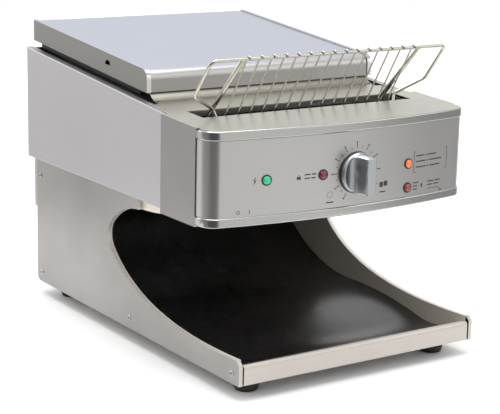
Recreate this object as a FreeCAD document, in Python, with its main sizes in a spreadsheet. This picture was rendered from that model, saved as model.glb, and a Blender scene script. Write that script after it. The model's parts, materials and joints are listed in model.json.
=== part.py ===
"""Countertop conveyor toaster: a parametric assembly of its casing, conveyor, heaters, drive and controls.

Frame: +Z up, front facing -Y, origin on the supporting surface under the centre of the object.
Outlines are drawn with y counted back from the front lip and z up from the supporting surface.
"""
import FreeCAD, Part
import math
import os
import Sketcher

Vector = FreeCAD.Vector
Rotation = FreeCAD.Rotation
doc = FreeCAD.newDocument("conveyor_toaster")
sheet_of_sizes = doc.addObject("Spreadsheet::Sheet", "Sizes")

DRIVING_SIZES = {
    # overall
    "depth": 600, "base_half": 200, "body_half": 210.5, "head_half": 218, "lid_half": 195.5,
    "foot_height": 22, "metal": 1.2, "air": 0.3,
    # lower housing
    "base_back": 586, "base_top": 222, "panel_fold": 6, "panel_step": 264, "chassis_half": 193.7,
    "lip_top": 50, "chute_half": 191.8, "chute_metal": 1.5, "vent_bottom": 141,
    # upper housing
    "body_front": 185, "body_back": 595, "body_bottom": 223, "body_fold": 12,
    "body_top_front": 356, "body_top_back": 395, "cheek_back": 171,
    "lid_front": 251, "lid_top_front": 401, "lid_top_back": 434, "lid_skirt": 30, "lid_bend": 14,
    # head
    "seam": 84, "head_bottom": 222, "head_top_front": 350, "head_top_back": 359, "trim_height": 13,
    "trim_metal": 3, "fascia_metal": 2, "slot_half": 177, "slot_front": 132, "slot_back": 174,
    # conveyor
    "belt_half": 145, "wheel": 24, "shaft": 5, "fit": 0.05,
    "front_shaft_y": 150, "front_shaft_z": 262, "rear_shaft_y": 505, "rear_shaft_z": 295.5,
    "heater": 4, "heater_half": 186, "heater_start": 262, "heater_pitch": 52, "heater_lift": 38,
    # drive
    "gear_module": 1.25, "wheel_teeth": 48, "pinion_teeth": 16, "gear_width": 6,
    # controls
    "knob_x": 7, "control_z": 280, "knob_radius": 28, "knob_depth": 34, "lamp_radius": 6,
    # rack
    "rail_y": 83, "rail_z": 436, "rail_half": 196, "rack_wire": 2.4, "thin_wire": 1.2,
    "wire_pitch": 19.8, "side_bar_x": 147,
}


class Size:
    """A length that carries its value and the spreadsheet formula that gives it."""

    def __init__(self, value, formula=None):
        self.value = float(value)
        self.formula = formula or f"{float(value):.6g}"

    @staticmethod
    def of(other):
        return other if isinstance(other, Size) else Size(other)

    def joined(self, other, sign, value):
        return Size(value, f"({self.formula} {sign} {Size.of(other).formula})")

    def __add__(self, other):
        return self.joined(other, "+", self.value + Size.of(other).value)

    def __radd__(self, other):
        return Size.of(other) + self

    def __sub__(self, other):
        return self.joined(other, "-", self.value - Size.of(other).value)

    def __rsub__(self, other):
        return Size.of(other) - self

    def __mul__(self, other):
        return self.joined(other, "*", self.value * Size.of(other).value)

    def __rmul__(self, other):
        return Size.of(other) * self

    def __truediv__(self, other):
        return self.joined(other, "/", self.value / Size.of(other).value)

    def __neg__(self):
        return 0 - self


class Sizes:
    """The driving dimensions, each one a named cell of the spreadsheet."""

    def __init__(self, values):
        for row, (name, value) in enumerate(values.items(), start=1):
            sheet_of_sizes.set(f"A{row}", name)
            sheet_of_sizes.set(f"B{row}", str(value))
            sheet_of_sizes.setAlias(f"B{row}", name)
            setattr(self, name, Size(value, f"Sizes.{name}"))


S = Sizes(DRIVING_SIZES)
doc.recompute()
FRONT = -S.depth / 2          # where y = 0 of the outlines lies in the part's frame
SUB_PARTS = {}
ALONG_X = Rotation(Vector(0, 1, 0), 90)
ALONG_Y = Rotation(Vector(1, 0, 0), -90)
UPRIGHT = Rotation()
TO_FRONT = Rotation(Vector(1, 0, 0), 90)
YZ_SKETCH = Rotation(Vector(0, 1, 0), Vector(0, 0, 1), Vector(1, 0, 0), "ZXY")


# ---------------------------------------------------------------- helpers

def bind(thing, prop, size):
    """Set a property from a size, and tie it to the spreadsheet."""
    size = Size.of(size)
    if "Placement" not in prop:
        setattr(thing, prop, size.value)
    thing.setExpression(prop, size.formula)


def place(thing, x=0, y=0, z=0, turn=UPRIGHT):
    """Put an object at x, y, z; y is counted back from the front lip."""
    where = [Size.of(x), FRONT + y, Size.of(z)]
    thing.Placement = FreeCAD.Placement(Vector(*[size.value for size in where]), turn)
    for axis, size in zip("xyz", where):
        bind(thing, f"Placement.Base.{axis}", size)
    return thing


def sub_part(name, thing):
    thing.Label = name
    SUB_PARTS[name] = thing
    return thing


def box(low, size):
    """A box from its lowest corner and its size."""
    made = doc.addObject("Part::Box", "box")
    for prop, length in zip(("Length", "Width", "Height"), size):
        bind(made, prop, length)
    return place(made, *low)


def rod(start, radius, length, turn=UPRIGHT):
    """A cylinder that grows along +Z, or along the axis that turn gives."""
    made = doc.addObject("Part::Cylinder", "rod")
    bind(made, "Radius", radius)
    bind(made, "Height", length)
    return place(made, *start, turn=turn)


def cone(start, low_radius, high_radius, height, turn=UPRIGHT):
    made = doc.addObject("Part::Cone", "cone")
    bind(made, "Radius1", low_radius)
    bind(made, "Radius2", high_radius)
    bind(made, "Height", height)
    return place(made, *start, turn=turn)


def nut(start, across, length, turn=UPRIGHT):
    made = doc.addObject("Part::Prism", "nut")
    made.Polygon = 6
    bind(made, "Circumradius", across)
    bind(made, "Height", length)
    return place(made, *start, turn=turn)


def fused(*shapes):
    made = doc.addObject("Part::MultiFuse", "fused")
    made.Shapes = list(shapes)
    made.Refine = True
    return made


def cut(base, *tools):
    made = doc.addObject("Part::Cut", "cut")
    made.Base = base
    made.Tool = tools[0] if len(tools) == 1 else group(*tools)
    made.Refine = True
    return made


def group(*shapes):
    """Separate solids that share one node."""
    made = doc.addObject("Part::Compound", "group")
    made.Links = list(shapes)
    return made


def rounded(base, radius, wanted):
    """Fillet the edges that wanted() picks by their middle point and direction."""
    doc.recompute()
    made = doc.addObject("Part::Fillet", "rounded")
    made.Base = base
    picked = []
    for number, edge in enumerate(base.Shape.Edges, start=1):
        middle = edge.valueAt((edge.FirstParameter + edge.LastParameter) / 2)
        if wanted(edge, middle):
            picked.append((number, radius, radius))
    made.Edges = picked
    return made


class Path:
    """An outline of straight lines and arcs, each arc tangent to what comes before it."""

    def __init__(self, start, heading_deg=0.0):
        self.start = start
        self.pieces = []
        self.point = start
        self.heading = math.radians(heading_deg)

    def line(self, *points):
        for point in points:
            a, b = flat(self.point), flat(point)
            self.heading = math.atan2(b.y - a.y, b.x - a.x)
            self.pieces.append(("line", self.point, point))
            self.point = point
        return self

    def arc(self, *points):
        for point in points:
            a, b = flat(self.point), flat(point)
            chord = b - a
            half_turn = math.atan2(chord.y, chord.x) - self.heading
            half_turn = math.atan2(math.sin(half_turn), math.cos(half_turn))
            side = Vector(chord.y, -chord.x, 0).normalize()
            rise = chord.Length / 2 * math.tan(half_turn / 2)
            middle = (a + b) / 2 + side * rise
            self.heading += 2 * half_turn
            self.pieces.append(("arc", self.point, middle, point))
            self.point = point
        return self

    def close(self):
        return self.line(self.start)


def flat(point):
    return Vector(Size.of(point[0]).value, Size.of(point[1]).value, 0)


def draw(sketch, path):
    """Draw a path in a sketch, with each corner tied to the spreadsheet."""
    curves = []
    for piece in path.pieces:
        if piece[0] == "line":
            curve = Part.LineSegment(flat(piece[1]), flat(piece[2]))
        else:
            curve = Part.Arc(flat(piece[1]), piece[2], flat(piece[3]))
        curves.append(sketch.addGeometry(curve, False))
    closed = (flat(path.start) - flat(path.point)).Length < 1e-6
    pieces = list(zip(curves, path.pieces))
    for (here, piece), (there, follower) in zip(pieces, pieces[1:] + pieces[:1]):
        if follower is not path.pieces[0] or closed:
            sketch.addConstraint(Sketcher.Constraint("Coincident", here, end_of(piece), there,
                                                     start_of(follower)))
    for curve, piece in pieces:
        pin_corner(sketch, curve, start_of(piece), piece[1])
    if not closed:
        pin_corner(sketch, curves[-1], end_of(path.pieces[-1]), path.point)


def turns_left(piece):
    a, b, c = flat(piece[1]), piece[2], flat(piece[3])
    return (b - a).cross(c - b).z > 0


def start_of(piece):
    return 1 if piece[0] == "line" or turns_left(piece) else 2


def end_of(piece):
    return 3 - start_of(piece)


def pin_corner(sketch, curve, end, point):
    """Fix one corner by its two distances from the origin."""
    for kind, size in zip(("DistanceX", "DistanceY"), map(Size.of, point)):
        if size.value < 0:
            constraint = Sketcher.Constraint(kind, curve, end, -1, 1, -size.value)
            size = -size
        else:
            constraint = Sketcher.Constraint(kind, -1, 1, curve, end, size.value)
        number = sketch.addConstraint(constraint)
        if "Sizes" in size.formula:
            sketch.setExpression(f"Constraints[{number}]", size.formula)


def padded(name, path, x, thickness, plane="YZ_Plane"):
    """A PartDesign body: an outline in the side view, padded along +X from x."""
    body = doc.addObject("PartDesign::Body", name)
    sketch = body.newObject("Sketcher::SketchObject", name + "_outline")
    base = [feature for feature in body.Origin.OriginFeatures if feature.Role == plane]
    sketch.AttachmentSupport = [(base[0], "")]
    sketch.MapMode = "FlatFace"
    draw(sketch, path)
    pad = body.newObject("PartDesign::Pad", name + "_pad")
    pad.Profile = sketch
    bind(pad, "Length", thickness)
    return place(body, x)


def folded_pan(name, path, x, fold, open_side):
    """A sheet with its edges folded inwards all round; open_side is -1 or 1 along X."""
    body = padded(name, path, x, fold)
    doc.recompute()
    pad = body.Tip
    faces = [(face.CenterOfMass.x * open_side, number)
             for number, face in enumerate(pad.Shape.Faces, start=1)
             if face.Surface.TypeId == "Part::GeomPlane" and abs(face.normalAt(0, 0).x) > 0.99]
    shell = body.newObject("PartDesign::Thickness", name + "_sheet")
    shell.Base = (pad, [f"Face{max(faces)[1]}"])
    bind(shell, "Value", S.metal)
    shell.Reversed = True
    shell.Join = 1
    body.Tip = shell
    return body


def swept_sheet(path, metal, start, length):
    """A bent sheet: an outline in the side view, drawn out along +X.

    The metal lies on the left of the outline, or on its right where metal is negative.
    """
    sketch = doc.addObject("Sketcher::SketchObject", "bend_line")
    draw(sketch, path)
    x, y, z = start
    place(sketch, x, y, z, YZ_SKETCH)
    strip = doc.addObject("Part::Offset2D", "strip")
    strip.Source = sketch
    strip.Mode = "Skin"
    strip.Fill = True
    strip.Join = "Arc"
    bind(strip, "Value", -metal)
    made = doc.addObject("Part::Extrusion", "sheet_metal")
    made.Base = strip
    made.DirMode = "Custom"
    made.Dir = Vector(1, 0, 0)
    made.Solid = True
    bind(made, "LengthFwd", length)
    return made


# ---------------------------------------------------------------- lines that several pieces share

RISE = (S.rear_shaft_z - S.front_shaft_z) / (S.rear_shaft_y - S.front_shaft_y)
BELT_OUT = 27.8                # from a shaft's centre to the belt's carrying surface
HEAD_CORNER = 24.5             # outer radius of the head's two front corners
HEAD_CORNER_X = S.head_half - HEAD_CORNER
HEAD_CORNER_Y = 75.6
FRONT_BOW = math.radians(10.68)   # how far the bowed front has turned where it meets a corner
FASCIA_INSET = 1.5             # how far the fascia sits back from the two polished trims
RETURN_CURVE = [(105, 55), (216, 67.5), (295, 94), (345, 129), (345, 169)]
GEAR_X = 199                   # where the two gears start, outside the right chassis side
PINION_Y = S.front_shaft_y - S.gear_module * (S.wheel_teeth + S.pinion_teeth) / 2
MOTOR_X = 150
MOTOR_SCREWS = [(PINION_Y + across, S.front_shaft_z + up) for across in (-16, 16) for up in (-16, 16)]
FAN_X, FAN_Z = -110, 74
FAN_SCREWS = [(FAN_X + across, FAN_Z + up) for across in (-35.5, 35.5) for up in (-35.5, 35.5)]
GLAND_X, GLAND_Z = 140, 62
SCREW_SPOTS = [(573, 194), (569, 38), (289, 38), (17, 36)]
FOOT_SPOTS = [(x, y) for x in (-160, 160) for y in (42, 545)]
LAMPS = [("power_lamp", -134, 282), ("fault_lamp", -48, 282),
         ("heat_lamp", 101, 282), ("saver_lamp", 101, 248)]
SWITCH_X, SWITCH_Y = -150, 102


def belt_line(y):
    """Height of the line through both shafts' centres."""
    return S.front_shaft_z + (y - S.front_shaft_y) * RISE


def head_top(y):
    """Height of the head's sloping top, which starts 58 mm back."""
    return S.head_top_front + (y - 58) * (S.head_top_back - S.head_top_front) / 171


def side_opening(path):
    """The return opening's edge, from the front lip back and round to the panel's step."""
    return path.arc(*RETURN_CURVE).arc((S.panel_step, 203.5))


def head_plan(inset, overrun=0.0):
    """The head's bowed front seen from above, from the left seam round to the right one."""
    radius = HEAD_CORNER - inset
    across = HEAD_CORNER_X + radius * math.sin(FRONT_BOW)
    back = HEAD_CORNER_Y - radius * math.cos(FRONT_BOW)
    half = S.head_half - inset
    seam = S.seam + 0.5 + overrun
    path = Path((-half, seam), -90)
    path.line((-half, HEAD_CORNER_Y)).arc((-across, back)).arc((across, back))
    return path.arc((half, HEAD_CORNER_Y)).line((half, seam))


def head_block(name, inset, low, height, overrun=0.0):
    """A solid with the head's plan, from which a bent band is cut."""
    outline = head_plan(inset, overrun).close()
    return place(padded(name, outline, 0, height, "XY_Plane"), 0, 0, low)


def on_fascia(x, z, out):
    """A point out in front of the fascia's bowed face at x, and the turn that points +Z out of it."""
    bow = HEAD_CORNER_X.value / math.sin(FRONT_BOW) + HEAD_CORNER
    middle = HEAD_CORNER_Y + (bow - HEAD_CORNER) * math.cos(FRONT_BOW)
    lean = math.asin(x / (bow - 1.5))
    reach = bow - 1.5 + out
    turn = Rotation(Vector(0, 0, 1), math.degrees(lean)).multiply(TO_FRONT)
    return (reach * math.sin(lean), middle - reach * math.cos(lean), z), turn


# ---------------------------------------------------------------- lower housing

def side_panel(name, side):
    path = side_opening(Path((7, 56.5), -3.4)).line((S.panel_step, S.base_top))
    path.line((S.base_back, S.base_top), (S.base_back, S.foot_height + 10))
    path.arc((S.base_back - 10, S.foot_height)).line((0, S.foot_height), (0, S.lip_top)).close()
    x = S.base_half - S.panel_fold if side > 0 else -S.base_half
    pan = folded_pan(name, path, x, S.panel_fold, -side)
    holes = [rod((side * S.base_half - 5, y, z), 2.1, 10, ALONG_X) for y, z in SCREW_SPOTS]
    return sub_part(name, cut(pan, *holes))


def chassis_side(name, side):
    path = side_opening(Path((7, 56.5), -3.4)).arc((193, 211))
    path.line((192, 226), (80, 226), (80, 340), (190, 349.5), (584, 386), (584, 23.5), (8, 23.5)).close()
    x = S.chassis_half - S.metal if side > 0 else -S.chassis_half
    plate = padded(name, path, x, S.metal)
    holes = [rod((side * S.chassis_half - 5, y, z), 8.02, 10, ALONG_X)
             for y, z in ((S.front_shaft_y, S.front_shaft_z), (S.rear_shaft_y, S.rear_shaft_z))]
    if side > 0:
        holes.append(rod((S.chassis_half - 5, PINION_Y, S.front_shaft_z), 12, 10, ALONG_X))
        holes += [rod((S.chassis_half - 5, y, z), 2.1, 10, ALONG_X) for y, z in MOTOR_SCREWS]
    return sub_part(name, cut(plate, *holes))


def base_pan():
    floor = box((-S.chassis_half, 2, S.foot_height), (S.chassis_half * 2, S.base_back - 4, S.metal))
    holes = [rod((x, y, S.foot_height - 1), 3.1, 4) for x, y in FOOT_SPOTS]
    sub_part("base_pan", cut(floor, *holes))


def feet():
    made = []
    nuts = []
    for x, y in FOOT_SPOTS:
        rubber = cone((x, y, 0), 16, 19, S.foot_height)
        made.append(fused(rubber, rod((x, y, S.foot_height - 1), 3, 5)))
        ring = nut((x, y, S.foot_height + S.metal), 5.8, 2.4)
        nuts.append(cut(ring, rod((x, y, S.foot_height), 3.05, 6)))
    sub_part("rubber_feet", group(*made))
    sub_part("foot_nuts", group(*nuts))


def front_lip():
    path = Path((0, S.foot_height), 90).line((0, S.lip_top - 6)).arc((6, S.lip_top)).line((22, 42.5))
    width = S.chute_half * 2
    sub_part("front_lip", swept_sheet(path, -S.chute_metal, (-S.chute_half, 0, 0), width))


def toast_chute():
    path = Path((23.8, 40.4), -30).arc((46, 31)).arc((110, 29), (276, 45), (418, 88), (530, 175), (573, 262))
    path.line((577.5, 290))
    width = S.chute_half * 2
    sub_part("toast_chute", swept_sheet(path, -S.chute_metal, (-S.chute_half, 0, 0), width))


def rear_panel():
    plate = box((-S.chassis_half, S.base_back - S.metal, 23.5), (S.chassis_half * 2, S.metal, 198))
    slots = [box((FAN_X - 28, S.base_back - 3, FAN_Z - 26 + 11 * row), (56, 6, 5)) for row in range(5)]
    gland_hole = rod((GLAND_X, S.base_back - 5, GLAND_Z), 10.1, 10, ALONG_Y)
    holes = [rod((x, S.base_back - 5, z), 2.1, 10, ALONG_Y) for x, z in FAN_SCREWS]
    sub_part("rear_panel", cut(plate, gland_hole, *slots, *holes))


def rear_vent_cover():
    half, depth, height = S.base_half - 2, 11.8, S.base_top - S.vent_bottom - 1
    outer = box((-half, S.base_back + 0.2, S.vent_bottom), (half * 2, depth, height))
    inside = (2 * (half - S.metal), depth - 0.2, height - 2 * S.metal)
    inner = box((S.metal - half, S.base_back - 0.8, S.vent_bottom + S.metal), inside)
    slots = [box((x, S.base_back + 5, S.vent_bottom + 16 + 14 * row), (52, 12, 4))
             for x in (-160, -93, -26, 41, 108) for row in range(4)]
    sub_part("rear_vent_cover", cut(outer, inner, *slots))


def turned_out(side):
    """The turn that points +Z outwards along X."""
    return Rotation(Vector(0, 1, 0), 90 * side)


def screw(x, y, z, turn, length):
    """A dome-headed screw: its head stands on the face at x, y, z and its shank goes in behind."""
    inwards = turn.multVec(Vector(0, 0, -length))
    head = cone((x, y, z), 4.2, 2.6, 1.5, turn)
    return fused(head, rod((x + inwards.x, y + inwards.y, z + inwards.z), 2, length + 0.2, turn))


def screws():
    outside = [screw(side * S.base_half, y, z, turned_out(side), 5)
               for side in (-1, 1) for y, z in SCREW_SPOTS]
    sub_part("case_screws", group(*outside))
    behind = [screw(x, S.base_back, z, ALONG_Y, 9) for x, z in FAN_SCREWS]
    sub_part("fan_screws", group(*behind))
    beside = [screw(S.chassis_half, y, z, ALONG_X, 7) for y, z in MOTOR_SCREWS]
    sub_part("motor_screws", group(*beside))


# ---------------------------------------------------------------- upper housing

def upper_side(name, side):
    path = Path((S.body_front, S.body_bottom)).line((S.body_back, S.body_bottom),
                                                    (S.body_back, S.body_top_back),
                                                    (S.body_front, S.body_top_front)).close()
    x = S.body_half - S.body_fold if side > 0 else -S.body_half
    pan = folded_pan(name, path, x, S.body_fold, -side)
    slope = (S.body_top_back - S.body_top_front) / (S.body_back - S.body_front)
    front, back = S.cheek_back, S.body_front + 5
    outline = Path((front, S.body_bottom)).line((back, S.body_bottom),
                                                (back, S.body_top_front + 5 * slope),
                                                (front, S.body_top_front - (S.body_front - front) * slope)).close()
    tab_x = S.body_half - S.metal if side > 0 else -S.body_half
    sub_part(name, fused(pan, padded("front_tab", outline, tab_x, S.metal)))


def upper_rear_panel():
    half = S.body_half - S.body_fold - S.air
    plate = box((-half, S.body_back - S.metal, S.body_bottom + 0.5), (half * 2, S.metal, 170))
    slots = [box((x, S.body_back - 5, 330 + 11 * row), (64, 10, 4))
             for x in (-150, -72, 6, 84) for row in range(4)]
    sub_part("upper_rear_panel", cut(plate, *slots))


def lid_profile(raised=0.0):
    """The lid's bent outline from its rear skirt over the top to its front skirt."""
    back, front = S.depth, S.lid_front - raised
    fall = (S.lid_top_back - S.lid_top_front) / (S.depth - S.lid_front)
    path = Path((back, S.lid_top_back - S.lid_skirt), 90).line((back, S.lid_top_back + raised))
    bend_y = front + S.lid_bend * 0.91
    path.line((bend_y, S.lid_top_front + raised + (bend_y - S.lid_front) * fall))
    path.arc((front, S.lid_top_front + raised - S.lid_bend * 0.91))
    return path.line((front, S.lid_top_front - S.lid_skirt))


def lid():
    half = S.lid_half - S.metal
    top = swept_sheet(lid_profile(), S.metal, (-half, 0, 0), half * 2)
    pieces = [top]
    for side in (-1, 1):
        x = -S.lid_half if side < 0 else half
        skirt = padded("lid_skirt", lid_profile(1.5).close(), x, S.metal)
        hem_x = -S.lid_half if side < 0 else S.lid_half - 7
        hem = swept_sheet(lid_profile(1.5), 1.6, (hem_x, 0, 0), 7)
        notch = rod((side * S.lid_half - 3, 362, 395), 8, 6, ALONG_X)
        below = box((side * S.lid_half - 4, 350, 380), (8, 24, 16))
        pieces += [cut(skirt, cut(notch, below)), hem]
    sub_part("lid", fused(*pieces))


def lid_liner():
    """The dark slotted frame that carries the lid and lets heat out under its skirts."""
    fall = (S.lid_top_back - S.lid_top_front) / (S.depth - S.lid_front)
    front, back = 280, 588
    top_front = S.lid_top_front + (front - S.lid_front) * fall - S.metal - S.air
    top_back = S.lid_top_front + (back - S.lid_front) * fall - S.metal - S.air
    outline = Path((front, top_front - 38)).line((back, top_back - 38), (back, top_back), (front, top_front))
    outline.close()
    walls = [padded("liner_wall", outline, x, S.metal) for x in (-188, 188 - 1.2)]
    across = 2 * (188 - 1.2)
    walls.append(box((-186.8, front, top_front - 38), (across, S.metal, 38)))
    walls.append(box((-186.8, back - S.metal, top_back - 38), (across, S.metal, 38)))
    slots = [box((-190, 288 + 23 * step, 375.5 + 23 * 0.0946 * step), (380, 15, 9)) for step in range(13)]
    sub_part("lid_liner", cut(fused(*walls), *slots))


def head_cover():
    """The head's top with its bread slot, coved up under the lid, and its two cheeks."""
    path = Path((34, head_top(34))).line((232.5, S.head_top_back)).arc((258.5, 384)).line((258.5, 390))
    half = S.head_half
    top = swept_sheet(path, -S.metal, (-half, 0, 0), half * 2)
    slot = box((-S.slot_half, S.slot_front, 340), (S.slot_half * 2, S.slot_back - S.slot_front, 30))
    ahead = head_plan(3.2).line((240, S.seam + 0.5), (240, 0), (-240, 0), (-240, S.seam + 0.5)).close()
    front_cut = place(padded("head_front_cut", ahead, 0, 60, "XY_Plane"), 0, 0, 320)
    cuts = [slot, front_cut]
    for side in (-1, 1):
        x = 198.2 if side > 0 else -240
        cuts.append(box((x, S.body_front - 0.2, 330), (41.8, 90, 80)))
        tab_x = 209 if side > 0 else -240
        cuts.append(box((tab_x, S.cheek_back - 0.2, 330), (31, 20, 80)))
        notch_x = 188.5 if side > 0 else -200
        cuts.append(box((notch_x, 228, 340), (11.5, 50, 80)))
        cuts.append(rod((side * 184, 239, 340), 2.2, 40))
    cheek_back = S.cheek_back + 2
    cheeks = []
    for side in (-1, 1):
        outline = Path((S.seam + 1.2, 220)).line((cheek_back, 220), (cheek_back, head_top(cheek_back)),
                                                 (S.seam + 1.2, head_top(S.seam + 1.2))).close()
        x = S.head_half - S.metal if side > 0 else -S.head_half
        cheeks.append(padded("cheek", outline, x, S.metal))
        flange_x = S.body_half + S.air if side > 0 else -S.head_half
        flange_size = (S.head_half - S.body_half - S.air, S.metal, 134)
        cheeks.append(box((flange_x, cheek_back - S.metal, 220), flange_size))
        seam_x = S.head_half - 10 if side > 0 else -S.head_half
        cheeks.append(box((seam_x, S.seam + 1.2, 220), (10, S.metal, 130)))
    sub_part("head_cover", fused(cut(top, *cuts), *cheeks))


def fascia():
    low = S.head_bottom + S.trim_height
    height = S.head_top_front - S.head_bottom - 2 * S.trim_height
    outside = head_block("fascia_outside", FASCIA_INSET, low, height)
    inside = head_block("fascia_inside", FASCIA_INSET + S.fascia_metal, low - 1, height + 2, 1)
    sheet = cut(outside, inside)
    holes = [rod_out(x, z, -10, S.lamp_radius + 0.3, 20) for _, x, z in LAMPS]
    holes.append(rod((S.knob_x, 20, S.control_z), 3.2, 40, ALONG_Y))
    sub_part("fascia", cut(sheet, *holes))


def head_trim(name, low):
    outside = head_block("trim_outside", 0, low, S.trim_height)
    inside = head_block("trim_inside", S.trim_metal, low - 1, S.trim_height + 2, 1)
    back = (FRONT + S.seam).value

    def along_the_front(edge, middle):
        return edge.BoundBox.ZLength < 0.01 and middle.y < back

    sub_part(name, cut(rounded(outside, 2.4, along_the_front), inside))


def head_base():
    inside = S.head_half - 10.5
    seam = S.seam + 0.5
    outline = head_plan(3.3).line((inside, seam), (inside, 184), (-inside, 184), (-inside, seam)).close()
    plate = place(padded("head_base_plate", outline, 0, S.metal, "XY_Plane"), 0, 0, S.head_bottom + 1)
    switch_hole = box((SWITCH_X - 14.3, SWITCH_Y - 8.3, 215), (28.6, 16.6, 20))
    button_hole = rod((-SWITCH_X, SWITCH_Y, 215), 8.1, 20)
    sub_part("head_base", cut(plate, switch_hole, button_hole))


def inner_sheets():
    """The guides, the floor and the reflector that line the toasting chamber."""
    half = 176
    front = Path((130.6, 352), -90).line((130.6, 332), (157, 298))
    sub_part("feed_guide_front", swept_sheet(front, -S.metal, (-half, 0, 0), half * 2))
    rear = Path((175.6, 354.4), -50).line((184, 346.5), (252, 351.5))
    sub_part("feed_guide_rear", swept_sheet(rear, -S.metal, (-half, 0, 0), half * 2))
    floor = Path((194.5, 214), 90).line((194.5, 226), (455, 238), (463, 231))
    sub_part("chamber_floor", swept_sheet(floor, S.metal, (-S.chute_half, 0, 0), S.chute_half * 2))
    above = BELT_OUT + 49
    roof = Path((256, belt_line(256) + above)).line((540, belt_line(540) + above), (582, 330))
    sub_part("top_reflector", swept_sheet(roof, S.metal, (-S.chute_half, 0, 0), S.chute_half * 2))


# ---------------------------------------------------------------- conveyor and heaters

def shaft(name, y, z, left, right):
    sub_part(name, rod((-left, y, z), S.shaft, left + right, ALONG_X))


def wheels(name, y, z):
    """Two notched wheels that carry the belt's side chains."""
    made = []
    for side in (-1, 1):
        x = S.belt_half - 5.5 if side > 0 else -S.belt_half + 0.5
        disc = rod((x, y, z), S.wheel, 5, ALONG_X)
        hub_x = S.belt_half - 14 if side > 0 else -S.belt_half + 0.5
        hub = rod((hub_x, y, z), 10, 13.5, ALONG_X)
        bore = rod((-S.belt_half - 5, y, z), S.shaft + 0.02, S.belt_half * 2 + 10, ALONG_X)
        notches = []
        for step in range(12):
            angle = math.radians(30 * step)
            notch_y, notch_z = y + 24.4 * math.cos(angle), z + 24.4 * math.sin(angle)
            notches.append(rod((x - 1, notch_y, notch_z), 1.8, 7, ALONG_X))
        made.append(cut(fused(disc, hub), bore, *notches))
    sub_part(name, group(*made))


def bushes():
    made = []
    for y, z in ((S.front_shaft_y, S.front_shaft_z), (S.rear_shaft_y, S.rear_shaft_z)):
        for side in (-1, 1):
            body = rod((side * (S.chassis_half - 4), y, z), 8, 6, turned_out(side))
            collar = rod((side * (S.chassis_half + 0.1), y, z), 11, 2, turned_out(side))
            bore = rod((side * (S.chassis_half - 8), y, z), S.shaft + S.fit, 16, turned_out(side))
            made.append(cut(fused(body, collar), bore))
    sub_part("shaft_bushes", group(*made))


def belt_loop(radius):
    """The closed line round both shafts at a distance from their centres."""
    rise = math.atan(RISE.value)
    off_y, off_z = radius * math.sin(rise), radius * math.cos(rise)
    start = (S.front_shaft_y - off_y, S.front_shaft_z + off_z)
    path = Path(start, math.degrees(rise)).line((S.rear_shaft_y - off_y, S.rear_shaft_z + off_z))
    path.arc((S.rear_shaft_y + off_z, S.rear_shaft_z + off_y))
    path.arc((S.rear_shaft_y + off_y, S.rear_shaft_z - off_z))
    path.line((S.front_shaft_y + off_y, S.front_shaft_z - off_z))
    return path.arc((S.front_shaft_y - off_z, S.front_shaft_z - off_y)).arc(start)


def belt():
    """Two side chains and the cross rods between them."""
    for name, x in (("belt_chain_left", -S.belt_half), ("belt_chain_right", S.belt_half - 6)):
        outer = padded("chain_outside", belt_loop(S.wheel + 3.8), x, 6)
        inner = padded("chain_inside", belt_loop(S.wheel + 0.8), x - 1, 8)
        sub_part(name, cut(outer, inner))
    length = S.belt_half * 2 - 12.2
    rods = [rod((-S.belt_half + 6.1, y, z), 1.4, length, ALONG_X) for y, z in belt_stations(16)]
    sub_part("belt_rods", group(*rods))


def belt_stations(pitch):
    """Points along the middle of the belt, evenly spaced round the loop."""
    radius = S.wheel.value + 2.3
    span_y, span_z = (S.rear_shaft_y - S.front_shaft_y).value, (S.rear_shaft_z - S.front_shaft_z).value
    span = math.hypot(span_y, span_z)
    rise = math.atan2(span_z, span_y)
    loop = 2 * span + 2 * math.pi * radius
    count = round(loop / pitch)
    stations = []
    for number in range(count):
        run = loop * number / count
        if run < span:
            along, out = run, radius
        elif run < span + math.pi * radius:
            angle = (run - span) / radius
            along, out = span + radius * math.sin(angle), radius * math.cos(angle)
        elif run < 2 * span + math.pi * radius:
            along, out = 2 * span + math.pi * radius - run, -radius
        else:
            angle = (run - 2 * span - math.pi * radius) / radius
            along, out = -radius * math.sin(angle), -radius * math.cos(angle)
        y = S.front_shaft_y + along * math.cos(rise) - out * math.sin(rise)
        stations.append((y, S.front_shaft_z + along * math.sin(rise) + out * math.cos(rise)))
    return stations


def heaters():
    rows = [S.heater_start + S.heater_pitch * number for number in range(5)]
    over = [(y, belt_line(y) + BELT_OUT + S.heater_lift) for y in rows]
    under = [(y - 40, belt_line(y - 40) + 12) for y in rows]
    half = S.heater_half
    sub_part("top_heaters", group(*[rod((-half, y, z), S.heater, half * 2, ALONG_X) for y, z in over]))
    inner = S.belt_half + 20
    sub_part("bottom_heaters", group(*[rod((-inner, y, z), S.heater, inner * 2, ALONG_X) for y, z in under]))
    beads = []
    for reach, spots in ((half, over), (inner, under)):
        for side in (-1, 1):
            gap = S.chassis_half - S.metal - reach
            beads += [rod((side * reach, y, z), 7, gap, turned_out(side)) for y, z in spots]
    sub_part("heater_insulators", group(*beads))


# ---------------------------------------------------------------- drive

PRESSURE = math.radians(20)    # the gear teeth's pressure angle


def involute_flank(base, start, tip, half_angle):
    """Half of a tooth's flank, from a starting radius to the tip, as (radius, angle) pairs."""
    steps = []
    for step in range(7):
        here = start + (tip - start) * step / 6
        roll = math.acos(min(1.0, base / here))
        steps.append((here, half_angle - (math.tan(roll) - roll)))
    return steps


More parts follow.
